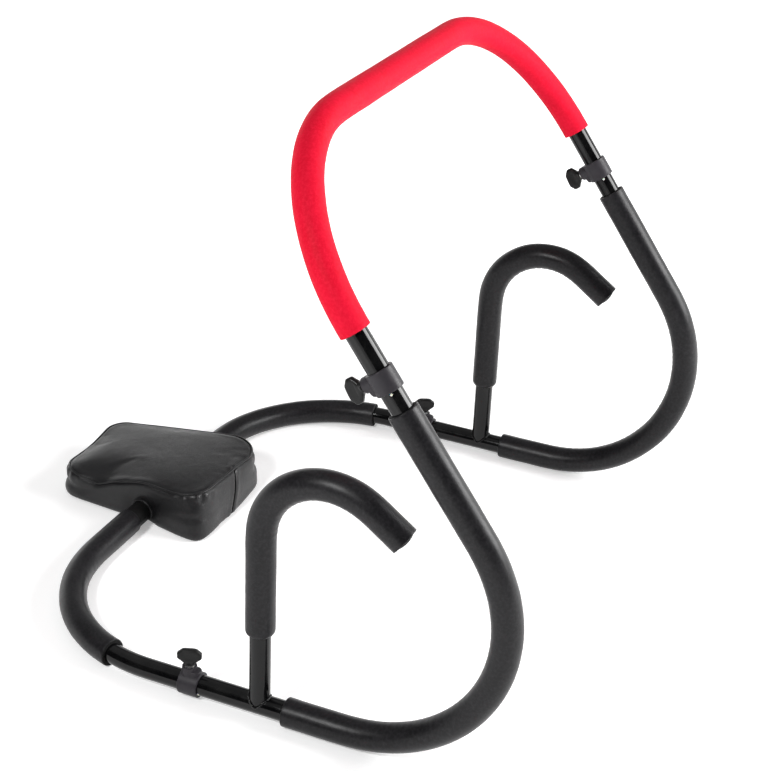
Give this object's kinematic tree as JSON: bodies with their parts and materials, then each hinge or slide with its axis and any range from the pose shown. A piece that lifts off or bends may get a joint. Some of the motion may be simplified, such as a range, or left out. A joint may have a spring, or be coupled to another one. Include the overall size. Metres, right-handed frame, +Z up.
{
  "type": "ab roller",
  "caption": "Abdominal crunch roller: two foam-sleeved rocker side frames with hooked armrests, a padded overhead push handle and a rear bar carrying a wedge head pad.",
  "frame": {"origin": "on the floor, at the centre of the footprint of the whole object", "axes": "+Z up, +X to the right-hand side seen from the foot end, +Y from the rocker bends towards the head pad"},
  "size_m": [0.663, 0.7, 0.615],
  "materials": {
    "tube_paint": "gloss",
    "black_foam": "matte",
    "red_foam": "matte",
    "collar_plastic": "satin",
    "black_plastic": "satin",
    "nylon": "satin",
    "zinc_steel": "satin",
    "pad_vinyl": "satin",
    "pad_filling": "matte"
  },
  "bodies": {
    "frame": {"left_side_tube": "tube_paint", "left_armrest_post": "tube_paint", "left_weld": "tube_paint", "left_side_foam": "black_foam", "left_armrest_foam": "black_foam", "left_armrest_plug": "black_plastic", "right_side_tube": "tube_paint", "right_armrest_post": "tube_paint", "right_weld": "tube_paint", "right_side_foam": "black_foam", "right_armrest_foam": "black_foam", "right_armrest_plug": "black_plastic", "upper_left_collar": "collar_plastic", "upper_left_liner": "nylon", "upper_left_nut": "zinc_steel", "upper_right_collar": "collar_plastic", "upper_right_liner": "nylon", "upper_right_nut": "zinc_steel", "lower_left_collar": "collar_plastic", "lower_left_liner": "nylon", "lower_left_nut": "zinc_steel", "lower_right_collar": "collar_plastic", "lower_right_liner": "nylon", "lower_right_nut": "zinc_steel"},
    "handle": {"handle_tube": "tube_paint", "handle_foam": "red_foam"},
    "rear_bar": {"rear_tube": "tube_paint", "left_rear_foam": "black_foam", "right_rear_foam": "black_foam"},
    "head_pad": {"pad_sleeve": "black_plastic", "pad_foam": "pad_filling", "pad_cover": "pad_vinyl"},
    "upper_left_spacer": {"upper_left_spacer": "zinc_steel"},
    "upper_left_knob": {"upper_left_knob": "black_plastic", "upper_left_stud": "zinc_steel"},
    "upper_right_spacer": {"upper_right_spacer": "zinc_steel"},
    "upper_right_knob": {"upper_right_knob": "black_plastic", "upper_right_stud": "zinc_steel"},
    "lower_left_spacer": {"lower_left_spacer": "zinc_steel"},
    "lower_left_knob": {"lower_left_knob": "black_plastic", "lower_left_stud": "zinc_steel"},
    "lower_right_spacer": {"lower_right_spacer": "zinc_steel"},
    "lower_right_knob": {"lower_right_knob": "black_plastic", "lower_right_stud": "zinc_steel"}
  },
  "joints": [
    {"name": "handle_height", "type": "slide", "parent": "frame", "child": "handle", "axis": [0, 0.5878, 0.809], "range_m": [0, 0.03]},
    {"name": "rear_bar_reach", "type": "slide", "parent": "frame", "child": "rear_bar", "axis": [0, 1, 0], "range_m": [0, 0.03]},
    {"name": "pad_tilt", "type": "hinge", "parent": "rear_bar", "child": "head_pad", "pos_m": [0, 0.2245, 0.0155], "axis": [1, 0, 0], "range_deg": [-20, 20]},
    {"name": "upper_left_stud_travel", "type": "slide", "parent": "frame", "child": "upper_left_spacer", "axis": [0, 0.809, -0.5878], "range_m": [0, 0.0031]},
    {"name": "upper_left_knob_turn", "type": "hinge", "parent": "upper_left_spacer", "child": "upper_left_knob", "pos_m": [-0.316, -0.1977, 0.41842], "axis": [0, 0.809, -0.5878], "range_deg": [0, 1080]},
    {"name": "upper_right_stud_travel", "type": "slide", "parent": "frame", "child": "upper_right_spacer", "axis": [0, 0.809, -0.5878], "range_m": [0, 0.0031]},
    {"name": "upper_right_knob_turn", "type": "hinge", "parent": "upper_right_spacer", "child": "upper_right_knob", "pos_m": [0.316, -0.1977, 0.41842], "axis": [0, 0.809, -0.5878], "range_deg": [0, 1080]},
    {"name": "lower_left_stud_travel", "type": "slide", "parent": "frame", "child": "lower_left_spacer", "axis": [0, 0, 1], "range_m": [0, 0.0031]},
    {"name": "lower_left_knob_turn", "type": "hinge", "parent": "lower_left_spacer", "child": "lower_left_knob", "pos_m": [-0.316, 0.0046, 0.0155], "axis": [0, 0, 1], "range_deg": [0, 1080]},
    {"name": "lower_right_stud_travel", "type": "slide", "parent": "frame", "child": "lower_right_spacer", "axis": [0, 0, 1], "range_m": [0, 0.0031]},
    {"name": "lower_right_knob_turn", "type": "hinge", "parent": "lower_right_spacer", "child": "lower_right_knob", "pos_m": [0.316, 0.0046, 0.0155], "axis": [0, 0, 1], "range_deg": [0, 1080]}
  ],
  "couplings": [
    {"joint": "upper_left_stud_travel", "follows": "upper_left_knob_turn", "m_per_rad": 0.00015915},
    {"joint": "upper_right_stud_travel", "follows": "upper_right_knob_turn", "m_per_rad": 0.00015915},
    {"joint": "lower_left_stud_travel", "follows": "lower_left_knob_turn", "m_per_rad": 0.00015915},
    {"joint": "lower_right_stud_travel", "follows": "lower_right_knob_turn", "m_per_rad": 0.00015915}
  ]
}
